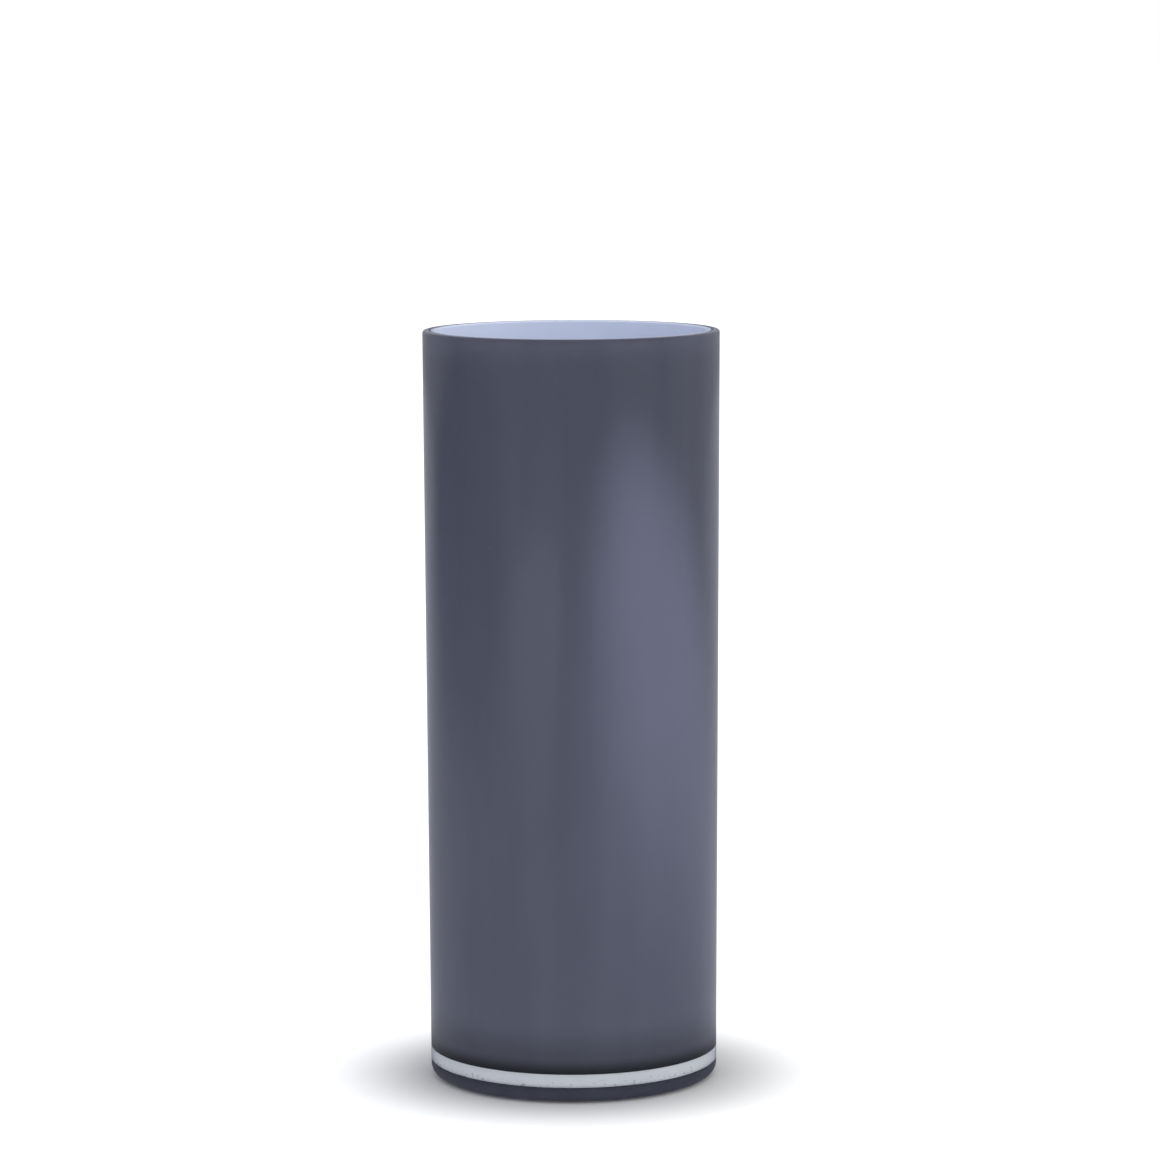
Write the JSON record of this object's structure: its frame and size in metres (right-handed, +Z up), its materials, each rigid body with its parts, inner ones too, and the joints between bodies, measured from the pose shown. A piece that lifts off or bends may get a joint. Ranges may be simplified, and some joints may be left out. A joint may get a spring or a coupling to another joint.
{
  "type": "cylinder vase",
  "caption": "Tall round vase of cased glass, open at the rim, with an opaque grey body, a white lining and a pale ring above the foot, for cut flowers.",
  "frame": {"origin": "centre of the flat face that the vase stands on", "axes": "+Z up along the vase's axis, +X and +Y any two directions across it"},
  "size_m": [0.118, 0.118, 0.3],
  "materials": {
    "clear_glass": "fire-polished, water clear",
    "grey_glass": "opaque slate grey, seen through the clear casing",
    "opal_glass": "fire-polished white opal"
  },
  "bodies": {
    "root": {"clear_casing": "clear_glass", "grey_sleeve": "grey_glass", "grey_foot": "grey_glass", "opal_liner": "opal_glass"}
  },
  "joints": []
}
